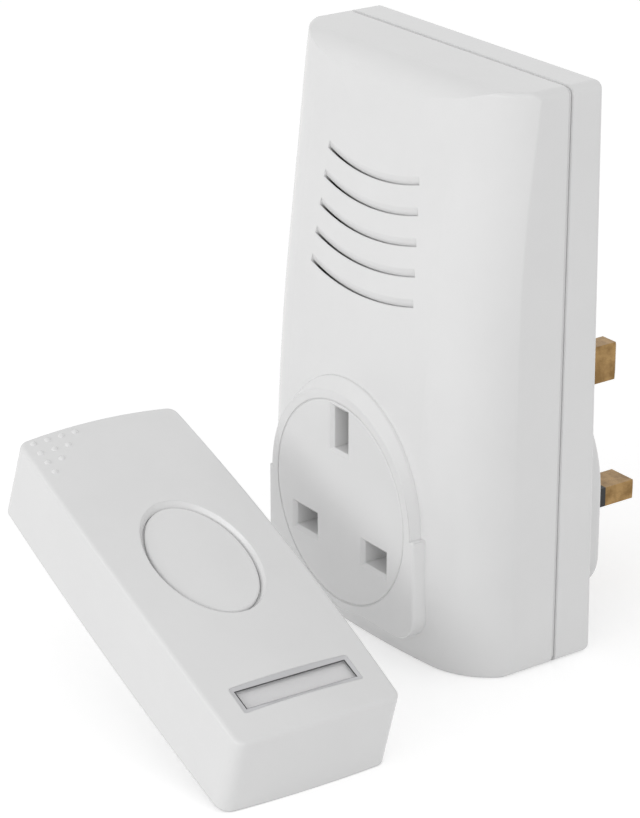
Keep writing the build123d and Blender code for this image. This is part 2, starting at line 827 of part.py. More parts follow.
# Chime circuit board, its screws and the contacts' solder slots
board_back_y = chime_board_y + board_thickness
with BuildPart() as chime_circuit_board:
    with BuildSketch(facing(board_back_y)):
        with Locations((0, chime_board_foot)):
            Rectangle(2 * chime_board_half_width, chime_board_top - chime_board_foot,
                      align=(Align.CENTER, Align.MIN))
        with Locations(*board_posts):
            Circle(board_screw_radius + mould_gap, mode=Mode.SUBTRACT)
    extrude(amount=board_thickness)
    fillet(chime_circuit_board.edges().filter_by(Axis.Y).group_by(Axis.Z)[-1], edge_soft)
    if contact_back_y + seat_gap > chime_board_y:
        with BuildSketch(facing(board_back_y + overrun)):
            with Locations((-pin_offset, chime_board_foot), (pin_offset, chime_board_foot)):
                Rectangle(riser_width + 2 * seat_gap, 2 * (riser_width + seat_gap))
        extrude(amount=board_thickness + 2 * overrun, mode=Mode.SUBTRACT)

finish(chime_circuit_board, "chime_circuit_board")

with BuildPart() as circuit_board_screws:
    with BuildSketch(facing(board_back_y + board_screw_head_thickness)):
        with Locations(*board_posts):
            Circle(board_screw_head)
    extrude(amount=board_screw_head_thickness)
    fillet(circuit_board_screws.edges().group_by(Axis.Y)[-1], board_screw_head_thickness / 2)
    with BuildSketch(facing(board_back_y)):
        with Locations(*board_posts):
            Circle(board_screw_radius - mould_gap / 2)
    extrude(amount=board_screw_length - board_screw_head_thickness)

finish(circuit_board_screws, "circuit_board_screws")

# Speaker: a pressed basket behind the slots, its cone and its magnet, all turned about one axis
speaker_axis = Axis((0, 0, speaker_height), (0, 1, 0))
speaker_back_y = speaker_front_y + speaker_depth
basket_front_y = speaker_front_y + cone_thickness
with BuildPart() as speaker_frame:
    with BuildSketch(Plane.XY.offset(speaker_height)):
        with BuildLine():
            Polyline((speaker_radius, basket_front_y), (speaker_radius, basket_front_y + speaker_rim),
                     (speaker_radius - speaker_rim_width + basket_wall, basket_front_y + speaker_rim),
                     (basket_back_radius + basket_wall, speaker_back_y), (magnet_radius / 2, speaker_back_y),
                     (magnet_radius / 2, speaker_back_y - basket_wall),
                     (basket_back_radius, speaker_back_y - basket_wall),
                     (speaker_radius - speaker_rim_width, basket_front_y), close=True)
        make_face()
    revolve(axis=speaker_axis)

finish(speaker_frame, "speaker_frame")

cone_rim = speaker_radius - speaker_rim_width - basket_wall
cone_back_y = speaker_back_y - basket_wall - slide_gap - cone_thickness
with BuildPart() as speaker_cone:
    with BuildSketch(Plane.XY.offset(speaker_height)):
        with BuildLine():
            Polyline((speaker_radius - mould_gap, speaker_front_y),
                     (speaker_radius - mould_gap, basket_front_y), (cone_rim, basket_front_y),
                     (dome_radius, cone_back_y), (0, cone_back_y - dome_radius / 3),
                     (0, cone_back_y - dome_radius / 3 - cone_thickness),
                     (dome_radius, cone_back_y - cone_thickness), (cone_rim, speaker_front_y), close=True)
        make_face()
    revolve(axis=speaker_axis)

finish(speaker_cone, "speaker_cone")

with BuildPart() as speaker_magnet:
    with BuildSketch(facing(speaker_back_y + magnet_thickness)):
        with Locations((0, speaker_height)):
            Circle(magnet_radius)
    extrude(amount=magnet_thickness)
    chamfer(speaker_magnet.edges().group_by(Axis.Y)[-1], basket_wall)

finish(speaker_magnet, "speaker_magnet")


# Parts on the back of the chime's board
def dual_in_line(plane_of, length, width, thickness, legs):
    """A chip body on its two rows of legs, drawn on plane_of(height above the board)."""
    with BuildPart() as chip:
        with BuildSketch(plane_of(chip_stand_off)):
            Rectangle(length, width)
        extrude(amount=thickness)
        with BuildSketch(plane_of(0)):
            with GridLocations(length / legs, width, legs, 2):
                Rectangle(chip_leg, 2 * chip_leg)
        extrude(amount=chip_stand_off + thickness / 2)
    return chip


def behind_board(x, level):
    """Sketch planes on the back of the chime's board, centred at x and level."""
    origin = Plane(origin=(x, board_back_y, level), x_dir=(1, 0, 0), z_dir=(0, 1, 0))
    return lambda rise: origin.offset(rise)


melody_plane = behind_board(-chime_board_half_width / 2,
                            chime_board_foot + chip_rise_share * chime_board_height)
melody_chip = dual_in_line(melody_plane, chip_length, chip_width, chip_thickness, chip_leg_count)
finish(melody_chip, "melody_chip")

dropper_plane = behind_board(dropper_side_share * chime_board_half_width,
                             chime_board_foot + dropper_rise_share * chime_board_height)
with BuildPart() as dropper_capacitor:
    with BuildSketch(dropper_plane(mould_gap)):
        RectangleRounded(dropper_width, dropper_height, chip_leg)
    extrude(amount=dropper_depth)

finish(dropper_capacitor, "dropper_capacitor")

smoothing_plane = behind_board(-chime_board_half_width / 2,
                               chime_board_foot + smoothing_rise_share * chime_board_height)
smoothing_side = smoothing_plane(smoothing_radius + mould_gap)
with BuildPart() as smoothing_capacitor:
    with BuildSketch(Plane(origin=smoothing_side.origin - Vector(smoothing_length / 2, 0, 0),
                           z_dir=(1, 0, 0))):
        Circle(smoothing_radius)
    extrude(amount=smoothing_length)
    fillet(smoothing_capacitor.edges().filter_by(GeomType.CIRCLE), chip_leg)

finish(smoothing_capacitor, "smoothing_capacitor")

module_plane = behind_board(chime_board_half_width / 4,
                            chime_board_foot + module_rise_share * chime_board_height)
with BuildPart() as receiver_module:
    with BuildSketch(module_plane(mould_gap)):
        Rectangle(module_width, module_height)
    extrude(amount=module_thickness)
    with BuildSketch(module_plane(mould_gap + module_thickness)):
        Rectangle(module_height, module_height - 2 * chip_leg)
    extrude(amount=module_can)

finish(receiver_module, "receiver_module")

coil_plane = behind_board(-chime_board_half_width / 2,
                          chime_board_foot + module_rise_share * chime_board_height)
coil_side = coil_plane(coil_radius + mould_gap)
with BuildPart() as antenna_coil:
    with BuildSketch(Plane(origin=coil_side.origin - Vector(coil_length / 2, 0, 0), z_dir=(1, 0, 0))):
        Circle(coil_radius)
        Circle(coil_radius - coil_wire, mode=Mode.SUBTRACT)
    extrude(amount=coil_length)

finish(antenna_coil, "antenna_coil")

# Bell push frame: X runs down its length to the label end, Y across it, Z out of its face
tilt = math.radians(push_tilt_angle)
turn = math.radians(push_turn_angle)
push_x = Vector(math.cos(tilt) * math.cos(turn), math.cos(tilt) * math.sin(turn), -math.sin(tilt))
push_y = Vector(-math.sin(turn), math.cos(turn), 0)
push_foot = Vector(push_foot_x, push_foot_y, 0)
push_centre = push_foot - push_x * (push_length / 2 + push_end_bow)
push_plane = Plane(origin=push_centre, x_dir=push_x, z_dir=push_x.cross(push_y))
push_axis = Axis(push_centre, push_plane.z_dir)


def push_at(level):
    """A sketch plane parallel to the push's back, at a height above it."""
    return push_plane.offset(level)


def push_across(x):
    """A sketch plane square to the push's length: sketch X is the push's Y, sketch Y its Z."""
    return Plane(origin=push_plane.from_local_coords((x, 0, 0)), x_dir=push_plane.y_dir,
                 z_dir=push_plane.x_dir)


def push_outline(inset):
    """The push seen from the front, with bowed ends and sides."""
    half_length = push_length / 2 - inset
    half_width = push_width / 2 - inset
    with BuildSketch() as outline:
        with BuildLine():
            ThreePointArc((-half_length, -half_width), (0, -half_width - push_side_bow),
                          (half_length, -half_width))
            ThreePointArc((half_length, -half_width), (half_length + push_end_bow, 0),
                          (half_length, half_width))
            ThreePointArc((half_length, half_width), (0, half_width + push_side_bow),
                          (-half_length, half_width))
            ThreePointArc((-half_length, half_width), (-half_length - push_end_bow, 0),
                          (-half_length, -half_width))
        make_face()
        fillet(outline.vertices(), max(push_corner - inset, push_corner / 3))
    return outline.sketch


def crown_profile(drop):
    """The crowned cross-section of the push, lowered by drop, reaching below its back."""
    half = push_width / 2 + push_side_bow + overrun
    ridge = push_height - push_crown * (2 * half / push_width) ** 2 - drop
    with BuildSketch() as profile:
        with BuildLine():
            ThreePointArc((-half, ridge), (0, push_height - drop), (half, ridge))
            Polyline((half, ridge), (half, -overrun), (-half, -overrun), (-half, ridge))
        make_face()
    return profile.sketch


def arch_drop(x):
    """How far the face has fallen from its highest line, at x along the push."""
    return push_arch * (2 * x / push_length) ** 2


def crown_form(drop):
    """Everything under the face, which is crowned across the push and arched along it."""
    reach = push_length / 2 + push_end_bow + overrun
    with BuildPart() as form:
        for x in (-reach, -reach / 2, 0, reach / 2, reach):
            with BuildSketch(push_across(x)):
                add(crown_profile(drop + arch_drop(x)))
        loft()
    return form.part


def push_form(inset, drop, lift):
    """The push's body drawn in by inset and lowered by drop, from lift upwards."""
    with BuildPart() as form:
        with BuildSketch(push_at(lift)):
            add(push_outline(inset))
        with BuildSketch(push_at(push_height)):
            add(push_outline(inset + (push_height - lift) * math.tan(math.radians(push_draft_angle))))
        loft(ruled=True)
        add(crown_form(drop), mode=Mode.INTERSECT)
    return form


def crown_level(x, y):
    """Height of the crowned face above the push's back, at x along it and y across it."""
    return push_height - push_crown * (2 * y / push_width) ** 2 - arch_drop(x)


button_top = push_height - button_drop
button_lip_level = push_height - push_crown - push_wall - button_lip_thickness - slide_gap
board_top = push_board_level + push_board_thickness
switch_top = board_top + switch_body_height
plunger_top = switch_top + plunger_rise
label_floor_level = push_height - label_recess
push_board_left = -push_length / 2 + push_board_inset
push_board_right = push_board_reach - button_offset
push_post_x = push_board_left + push_post_inset
push_near_post_x = push_board_right - push_near_post_inset
push_board_length = push_board_right - push_board_left
encoder_x = push_board_left + encoder_share * push_board_length - encoder_width / 2
resonator_x = push_board_left + resonator_share * push_board_length
label_centre = push_length / 2 - label_inset
plate_hole_x = push_length / 2 - plate_hole_inset
battery_left = push_board_right + battery_gap
cradle_left = battery_left + cradle_left_share * battery_length
cradle_right = battery_left + cradle_right_share * battery_length
post_spots = [(push_post_x, -push_post_y), (push_post_x, push_post_y),
              (push_near_post_x, -push_near_post_y), (push_near_post_x, push_near_post_y)]
battery_right = battery_left + battery_length + battery_nub
battery_y = 0

# Cover: crowned and bowed shell with the bevelled button opening, label recess and raised dots
with BuildPart() as cover_inside:
    with BuildSketch(push_at(board_top)):
        with Locations(*post_spots):
            Circle(push_post_radius)
    extrude(amount=push_height - board_top)
    with BuildSketch(push_at(label_floor_level - label_floor)):
        with Locations((label_centre, 0)):
            Rectangle(label_width + 2 * label_floor, label_length + 2 * label_floor)
    extrude(amount=push_height - label_floor_level + label_floor)
    for rib_x in (cradle_left, cradle_right):
        with BuildSketch(push_across(rib_x)):
            with Locations((battery_y, battery_level)):
                Rectangle(2 * cradle_rib_half_width, push_height - battery_level,
                          align=(Align.CENTER, Align.MIN))
                Circle(battery_radius + mould_gap, mode=Mode.SUBTRACT)
        extrude(amount=cradle_rib)
    with BuildSketch(push_across(battery_right + push_contact_strip + mould_gap)):
        with Locations((battery_y, battery_level - push_contact_height / 2)):
            Rectangle(push_contact_width + 2 * cradle_rib, push_height - battery_level
                      + push_contact_height / 2, align=(Align.CENTER, Align.MIN))
    extrude(amount=cradle_rib / 2)

with BuildPart() as push_cover:
    add(push_form(0, 0, 0).part)
    ridge = push_cover.faces().sort_by(push_axis)[-1]
    fillet(ridge.edges(), push_edge_soft)
    add(push_form(push_wall, push_wall, -overrun).part, mode=Mode.SUBTRACT)
    with BuildPart(mode=Mode.PRIVATE) as inside:
        add(push_form(push_wall / 2, push_wall / 2, 0).part)
        add(cover_inside.part, mode=Mode.INTERSECT)
    add(inside.part)
    with BuildSketch(push_at(push_height - bevel_depth)):
        with Locations((-button_offset, 0)):
            Ellipse(button_half_length + button_gap, button_half_width + button_gap)
    with BuildSketch(push_at(push_height)):
        with Locations((-button_offset, 0)):
            Ellipse(button_half_length + button_gap + bevel_width,
                    button_half_width + button_gap + bevel_width)
    loft(mode=Mode.SUBTRACT)
    with BuildSketch(push_at(push_height / 2)):
        with Locations((-button_offset, 0)):
            Ellipse(button_half_length + button_gap, button_half_width + button_gap)
    extrude(amount=push_height, mode=Mode.SUBTRACT)
    with BuildSketch(push_at(label_floor_level)):
        with Locations((label_centre, 0)):
            RectangleRounded(label_width, label_length, label_corner)
    extrude(amount=push_height, mode=Mode.SUBTRACT)
    with BuildSketch(push_at(board_top)):
        with Locations(*post_spots):
            Circle(push_screw_radius)
    extrude(amount=push_screw_length, mode=Mode.SUBTRACT)
    for row in range(dot_rows):
        for column in range(dot_rows - row):
            x = -push_length / 2 + dot_inset_x + row * dot_pitch
            y = -push_width / 2 + dot_inset_y + column * dot_pitch
            centre = (x, y, crown_level(x, y) + dot_rise - dot_radius)
            with Locations(Location(push_plane.from_local_coords(centre))):
                Sphere(dot_radius)

finish(push_cover, "push_cover")

# Back plate: sits inside the cover's rim and carries the push on two wall screws
plate_top = plate_recess + plate_thickness
with BuildPart() as push_back_plate:
    with BuildSketch(push_at(plate_recess)):
        add(push_outline(push_wall + seat_gap))
        with Locations((-plate_hole_x, 0), (plate_hole_x, 0)):
            Circle(plate_hole_radius, mode=Mode.SUBTRACT)
    extrude(amount=plate_thickness)
    for rib_x in (cradle_left, cradle_right):
        with BuildSketch(push_across(rib_x)):
            with Locations((battery_y, plate_top)):
                Rectangle(2 * battery_radius, cradle_height, align=(Align.CENTER, Align.MIN))
            with Locations((battery_y, battery_level)):
                Circle(battery_radius + mould_gap, mode=Mode.SUBTRACT)
        extrude(amount=plate_rib_width)
    clip_y = push_width / 2 - push_wall - 2 * seat_gap - plate_clip_thickness / 2
    with BuildSketch(push_at(plate_top)):
        with Locations(((battery_left + battery_right) / 2, -clip_y),
                       ((battery_left + battery_right) / 2, clip_y),
                       (push_post_x / 2, -clip_y), (push_post_x / 2, clip_y)):
            Rectangle(plate_clip_width, plate_clip_thickness)
    extrude(amount=plate_clip_height)

finish(push_back_plate, "push_back_plate")

# Button: an oval cap that follows the crown, with a retaining lip and a stem over the switch
with BuildPart() as push_button:
    with BuildSketch(push_at(button_lip_level)):
        with Locations((-button_offset, 0)):
            Ellipse(button_half_length, button_half_width)
    extrude(amount=push_height - button_lip_level)
    add(crown_form(button_drop), mode=Mode.INTERSECT)
    cap = push_button.faces().sort_by(push_axis)[-1]
    fillet(cap.edges(), button_edge_soft)
    with BuildSketch(push_at(button_lip_level)):
        with Locations((-button_offset, 0)):
            Ellipse(button_half_length + button_lip, button_half_width + button_lip)
    extrude(amount=button_lip_thickness)
    with BuildSketch(push_at(button_lip_level)):
        with Locations((-button_offset, 0)):
            Ellipse(button_half_length - push_wall, button_half_width - push_wall)
    extrude(amount=button_lip_thickness, mode=Mode.SUBTRACT)
    with BuildSketch(push_at(plunger_top + mould_gap)):
        with Locations((-button_offset, 0)):
            Circle(button_stem_radius)
    extrude(amount=button_top - plunger_top - push_wall)

finish(push_button, "push_button")

# Label: a blank card under a clear window, in the recess near the lower end
with BuildPart() as label_card:
    with BuildSketch(push_at(label_floor_level)):
        with Locations((label_centre, 0)):
            RectangleRounded(label_width - 2 * seat_gap, label_length - 2 * seat_gap, label_corner)
    extrude(amount=card_thickness)

finish(label_card, "label_card")

with BuildPart() as label_window:
    with BuildSketch(push_at(label_floor_level + card_thickness)):
        with Locations((label_centre, 0)):
            RectangleRounded(label_width - 2 * seat_gap, label_length - 2 * seat_gap, label_corner)
    extrude(amount=window_thickness)

finish(label_window, "label_window")

# Push circuit board and its screws
with BuildPart() as push_circuit_board:
    with BuildSketch(push_at(push_board_level)):
        with Locations(((push_board_left + push_board_right) / 2, 0)):
            Rectangle(push_board_right - push_board_left, 2 * push_board_half_width)
        with Locations(*post_spots):
            Circle(push_screw_radius + mould_gap, mode=Mode.SUBTRACT)
    extrude(amount=push_board_thickness)

finish(push_circuit_board, "push_circuit_board")

with BuildPart() as push_board_screws:
    with BuildSketch(push_at(push_board_level - push_screw_head_thickness)):
        with Locations(*post_spots):
            Circle(push_screw_head)
    extrude(amount=push_screw_head_thickness)
    with BuildSketch(push_at(push_board_level)):
        with Locations(*post_spots):
            Circle(push_screw_radius - mould_gap / 2)
    extrude(amount=push_screw_length)

finish(push_board_screws, "push_board_screws")

# Tact switch under the button
with BuildPart() as switch_body:
    with BuildSketch(push_at(board_top)):
        with Locations((-button_offset, 0)):
            Rectangle(switch_size, switch_size)
    extrude(amount=switch_body_height)
    with BuildSketch(push_at(switch_top)):
        with Locations((-button_offset, 0)):
            Circle(plunger_radius + mould_gap)
    extrude(amount=-button_travel - slide_gap, mode=Mode.SUBTRACT)

finish(switch_body, "switch_body")

with BuildPart() as switch_plunger:
    with BuildSketch(push_at(switch_top)):
        with Locations((-button_offset, 0)):
            Circle(plunger_radius)
    extrude(amount=plunger_rise)
    chamfer(switch_plunger.faces().sort_by(push_axis)[-1].edges(), mould_gap)

finish(switch_plunger, "switch_plunger")


def above_push_board(x, y):
    """Sketch planes on the push's board, centred at x and y."""
    spot = Plane(origin=push_plane.from_local_coords((x, y, board_top)), x_dir=push_plane.y_dir,
                 z_dir=push_plane.z_dir)
    return lambda rise: spot.offset(rise)


encoder_chip = dual_in_line(above_push_board(encoder_x, 0), encoder_length, encoder_width,
                            encoder_thickness, chip_leg_count)
finish(encoder_chip, "encoder_chip")

with BuildPart() as saw_resonator:
    with BuildSketch(push_at(board_top)):
        with Locations((resonator_x, 0)):
            Circle(resonator_radius)
    extrude(amount=resonator_height)
    fillet(saw_resonator.faces().sort_by(push_axis)[-1].edges(), chip_leg)

finish(saw_resonator, "saw_resonator")

# Battery and its two contacts
with BuildPart() as battery:
    with BuildSketch(push_across(battery_left)):
        with Locations((battery_y, battery_level)):
            Circle(battery_radius)
    extrude(amount=battery_length)
    fillet(battery.edges().filter_by(GeomType.CIRCLE), battery_edge_soft)
    with BuildSketch(push_across(battery_left + battery_length)):
        with Locations((battery_y, battery_level)):
            Circle(battery_nub_radius)
    extrude(amount=battery_nub)

finish(battery, "battery")

with BuildPart() as battery_flat_contact:
    with BuildSketch(push_across(battery_right)):
        with Locations((battery_y - push_contact_width / 2, battery_level)):
            Rectangle(push_contact_width / 2 + battery_run_y + push_contact_strip,
                      push_contact_height, align=(Align.MIN, Align.CENTER))
    extrude(amount=push_contact_strip)
    with BuildSketch(push_across(push_board_right - push_tail_width)):
        with Locations((battery_y + battery_run_y, board_top)):
            Rectangle(push_contact_strip, push_tail_width, align=(Align.MIN, Align.MIN))
    extrude(amount=battery_right + push_contact_strip - push_board_right + push_tail_width)

finish(battery_flat_contact, "battery_flat_contact")

with BuildPart() as battery_spring_contact:
    with BuildSketch(push_across(battery_left - push_contact_strip - mould_gap)):
        with Locations((battery_y, battery_level)):
            Rectangle(push_contact_width, push_contact_height)
    extrude(amount=push_contact_strip)
    with BuildSketch(push_across(push_board_right - push_tail_lap)):
        with Locations((battery_y, board_top)):
            Rectangle(push_tail_width, push_contact_strip, align=(Align.CENTER, Align.MIN))
    extrude(amount=battery_left - mould_gap - push_board_right + push_tail_lap)

finish(battery_spring_contact, "battery_spring_contact")
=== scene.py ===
# %% [markdown]
# # A plug-through doorbell and its bell push
# The object is two moulded boxes. The chime plugs into a wall socket and offers a socket of its own in
# front, under five sound slots. The bell push is a small crowned box with an oval button.
# The construction model already has every solid in its real place. The solids could be modelled again
# here, but their sizes would drift, so this script loads them as a fixed frame and spends its effort on
# what the eye reads: finish, light and the small repeated forms.

# %% Load the construction model
import math

import bmesh
import bpy
from mathutils import Matrix, Vector


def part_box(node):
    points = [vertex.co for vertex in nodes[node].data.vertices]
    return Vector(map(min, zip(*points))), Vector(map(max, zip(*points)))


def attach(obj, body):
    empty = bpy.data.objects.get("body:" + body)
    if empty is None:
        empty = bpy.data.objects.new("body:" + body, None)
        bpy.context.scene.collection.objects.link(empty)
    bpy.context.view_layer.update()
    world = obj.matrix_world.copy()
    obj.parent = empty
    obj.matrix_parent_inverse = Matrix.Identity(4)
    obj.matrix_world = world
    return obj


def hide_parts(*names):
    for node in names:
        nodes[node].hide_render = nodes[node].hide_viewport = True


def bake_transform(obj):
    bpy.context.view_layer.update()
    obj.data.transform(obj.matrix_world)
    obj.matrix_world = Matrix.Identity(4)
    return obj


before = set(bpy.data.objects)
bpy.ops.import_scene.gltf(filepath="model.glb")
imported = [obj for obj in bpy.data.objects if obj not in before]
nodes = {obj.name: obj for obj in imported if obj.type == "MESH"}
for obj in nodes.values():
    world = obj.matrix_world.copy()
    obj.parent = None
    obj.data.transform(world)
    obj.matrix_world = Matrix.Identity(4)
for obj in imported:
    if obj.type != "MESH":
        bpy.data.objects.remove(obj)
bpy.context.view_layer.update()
MM = 0.001


def in_mm(values):
    return [round(value / MM, 1) for value in values]


# %% [markdown]
# ## Colours and nodes
# Every material below is a small network of shader nodes. They could be joined by hand in the shader
# editor, but a script keeps every number in sight. One helper adds a node, sets its properties and joins
# its inputs, so that each material reads as a list of what feeds what. Colours are written as the hex
# values a designer would use and turned to the linear values that the shader works in.

# %% Helpers for colours and nodes
def linear(code):
    """Undo the sRGB curve, which starts as a straight line and goes on as a power."""
    channels = [int(code[i:i + 2], 16) / 255 for i in (1, 3, 5)]
    return [c / 12.92 if c <= 0.04045 else ((c + 0.055) / 1.055) ** 2.4 for c in channels] + [1.0]


def set_inputs(tree, node, inputs):
    """Link each input that is given a socket, and set each other one to its value."""
    for key, value in inputs.items():
        if isinstance(value, bpy.types.NodeSocket):
            tree.links.new(value, node.inputs[key])
        else:
            node.inputs[key].default_value = value


def add_node(tree, kind, inputs=None, **settings):
    node = tree.nodes.new(kind)
    for name, value in settings.items():
        setattr(node, name, value)
    set_inputs(tree, node, inputs or {})
    return node


print("white as the shader sees it:", [round(c, 3) for c in linear("#F0F0F0")])

# %% Start of a material
def bare_tree(owner):
    owner.use_nodes = True
    owner.node_tree.nodes.clear()
    return owner.node_tree


def new_material(name):
    """A material with a plain shader, and the object's own coordinates for patterns to follow."""
    material = bpy.data.materials.new(name)
    tree = bare_tree(material)
    shader = add_node(tree, "ShaderNodeBsdfPrincipled")
    add_node(tree, "ShaderNodeOutputMaterial", {"Surface": shader.outputs["BSDF"]})
    place = add_node(tree, "ShaderNodeTexCoord").outputs["Object"]
    return material, tree, shader, place


print("each material starts from one shader")

# %% [markdown]
# ## Moulded plastics
# Both housings are injection moulded ABS. The tool's surface is spark eroded to a very fine grain, so
# the plastic is neither matt nor glossy: broad soft highlights with a trace of orange peel. A flat
# colour with one roughness would look like paint. Three things make it plastic: a faint cloudiness in
# the colour, a roughness that wanders a little, and a bump whose grain is given in millimetres. The
# real grain is about 0.08 mm, drawn at 0.35 mm to show here.
# A moulding's edges are never knife sharp. A Bevel node bends the light on them as a small rounding
# would, which keeps the solid's own faces as they are.

# %% Moulded plastic
cloud_mm, ripple_mm = 14, 9
roughness_wander = 0.03


def moulded_plastic(name, light, dark, roughness, grain_mm, grain_height_mm=0.004, edge_mm=0.0):
    material, tree, shader, place = new_material(name)
    cloud = add_node(tree, "ShaderNodeTexNoise", {"Vector": place, "Scale": 1 / (cloud_mm * MM),
                                                  "Detail": 3.0, "Roughness": 0.55})
    grain = add_node(tree, "ShaderNodeTexNoise", {"Vector": place, "Scale": 1 / (grain_mm * MM),
                                                  "Detail": 2.0, "Roughness": 0.5})
    ripple = add_node(tree, "ShaderNodeTexNoise", {"Vector": place, "Scale": 1 / (ripple_mm * MM),
                                                   "Detail": 1.0})
    colour = add_node(tree, "ShaderNodeMixRGB", {"Fac": cloud.outputs["Fac"], "Color1": linear(dark),
                                                 "Color2": linear(light)})
    shine = add_node(tree, "ShaderNodeMapRange", {"Value": ripple.outputs["Fac"],
                                                  "To Min": roughness - roughness_wander,
                                                  "To Max": roughness + roughness_wander})
    peel = add_node(tree, "ShaderNodeBump", {"Height": ripple.outputs["Fac"], "Strength": 0.08,
                                             "Distance": 0.03 * MM})
    if edge_mm:
        edge = add_node(tree, "ShaderNodeBevel", {"Radius": edge_mm * MM}, samples=6)
        set_inputs(tree, peel, {"Normal": edge.outputs["Normal"]})
    bump = add_node(tree, "ShaderNodeBump", {"Height": grain.outputs["Fac"], "Strength": 0.35,
                                             "Distance": grain_height_mm * MM,
                                             "Normal": peel.outputs["Normal"]})
    set_inputs(tree, shader, {"Base Color": colour.outputs["Color"], "Roughness": shine.outputs["Result"],
                              "Normal": bump.outputs["Normal"], "IOR": 1.53})
    return material


print("cloudiness drawn at", cloud_mm, "mm, orange peel at", ripple_mm, "mm")

# %% The doorbell's plastics, and the dull solids that share their network
housing_abs = moulded_plastic("moulded white ABS", "#F5F5F5", "#EFEFEF", 0.22, 0.35, edge_mm=0.35)
button_abs = moulded_plastic("polished white ABS", "#F6F6F6", "#F1F1F1", 0.20, 0.5, 0.002, edge_mm=0.3)
socket_urea = moulded_plastic("moulded urea formaldehyde", "#F4F4F4", "#EFEFEF", 0.20, 0.5, 0.002,
                              edge_mm=0.3)
carrier_nylon = moulded_plastic("glass-filled nylon", "#D2D0C8", "#C9C7BF", 0.5, 0.6, 0.01)
shutter_nylon = moulded_plastic("grey acetal", "#C9C9C8", "#C3C3C2", 0.4, 0.5, 0.004)
sleeve_black = moulded_plastic("black moulded PVC sleeve", "#161617", "#121213", 0.45, 0.4, 0.005)
epoxy_black = moulded_plastic("black moulded epoxy", "#1D1D1E", "#18181A", 0.55, 0.3, 0.01)
card_white = moulded_plastic("uncoated white card", "#F4F3F4", "#F1F0F1", 0.8, 0.25, 0.01)
film_yellow = moulded_plastic("film capacitor box", "#D9A62E", "#D19E28", 0.4, 0.5)
print("plastics ready, grain drawn at 0.25 to 0.6 mm")

# %% [markdown]
# ## Metals
# The plug pins are drawn brass bar: a warm yellow metal whose drawing lines run along the bar, with
# brown tarnish in patches. The lines could be an image, but a noise stretched along one axis gives them
# at any size. The pins point along Y, so the noise is drawn 25 times longer that way.
# The strips, springs, screws, cans, wire and magnet share that network with colours of their own.

# %% Drawn and stamped metal
drawing_stretch = (1.0, 0.04, 1.0)
tarnish_mm = 3.0
tarnish_from, tarnish_to = 0.38, 0.62


def drawn_metal(name, bright, dull, roughness, line_mm):
    material, tree, shader, place = new_material(name)
    stretch = add_node(tree, "ShaderNodeMapping", {"Vector": place, "Scale": drawing_stretch})
    lines = add_node(tree, "ShaderNodeTexNoise", {"Vector": stretch.outputs["Vector"],
                                                  "Scale": 1 / (line_mm * MM), "Detail": 3.0})
    tarnish = add_node(tree, "ShaderNodeTexNoise", {"Vector": place, "Scale": 1 / (tarnish_mm * MM),
                                                    "Detail": 4.0, "Roughness": 0.6})
    colour = add_node(tree, "ShaderNodeValToRGB", {"Fac": tarnish.outputs["Fac"]})
    tarnished, clean = colour.color_ramp.elements
    tarnished.position = tarnish_from
    clean.position = tarnish_to
    tarnished.color = linear(dull)
    clean.color = linear(bright)
    shine = add_node(tree, "ShaderNodeMapRange", {"Value": lines.outputs["Fac"], "From Min": 0.3,
                                                  "From Max": 0.7, "To Min": roughness - 0.06,
                                                  "To Max": roughness + 0.08})
    bump = add_node(tree, "ShaderNodeBump", {"Height": lines.outputs["Fac"], "Strength": 0.4,
                                             "Distance": 0.01 * MM})
    set_inputs(tree, shader, {"Base Color": colour.outputs["Color"], "Roughness": shine.outputs["Result"],
                              "Normal": bump.outputs["Normal"], "Metallic": 1.0})
    return material


print("tarnish patches drawn at", tarnish_mm, "mm")

# %% The doorbell's metals
pin_brass = drawn_metal("drawn brass pin", "#A5865A", "#856943", 0.30, 0.25)
strip_brass = drawn_metal("stamped brass strip", "#D2B06C", "#C09C58", 0.3, 0.3)
zinc_steel = drawn_metal("zinc plated steel", "#B9BCC0", "#A6A9AE", 0.32, 0.2)
spring_steel = drawn_metal("spring steel", "#8C8F94", "#7A7D82", 0.35, 0.2)
nickel_strip = drawn_metal("nickel plated strip", "#C4C0B6", "#B4B0A6", 0.3, 0.25)
drawn_can = drawn_metal("drawn aluminium can", "#BFC1C5", "#B2B4B8", 0.35, 0.3)
pressed_steel = drawn_metal("black japanned steel", "#26272A", "#1E1F22", 0.45, 0.4)
ferrite = drawn_metal("sintered ferrite", "#323337", "#28292C", 0.6, 0.4)
enamelled_wire = drawn_metal("enamelled copper wire", "#B5623A", "#9A4E2C", 0.3, 0.3)
jacket_steel = drawn_metal("battery jacket", "#5B6066", "#50555B", 0.35, 0.4)
print("metals ready, drawing lines at 0.2 to 0.4 mm")

# %% [markdown]
# ## Boards, paper and the clear window
# A circuit board is glass cloth in resin under a green or blue lacquer. Its cloth shows as a faint weave,
# about 0.5 mm on a real board and drawn at about 2 mm to show. Copper shows as a grid of tracks.
# The speaker cone is pressed paper pulp, dull and slightly fibrous. The label window is a clear acrylic
# chip. Glass with transmission would bend the light as acrylic does, but a thin flat pane shows the
# same through a low alpha, with less noise, so the pane is almost clear and keeps its gloss.

# %% Circuit board
weave_scale = 1 / (6.28 * MM)
wave_repeat = math.tau / 20
track_mm = 4.0


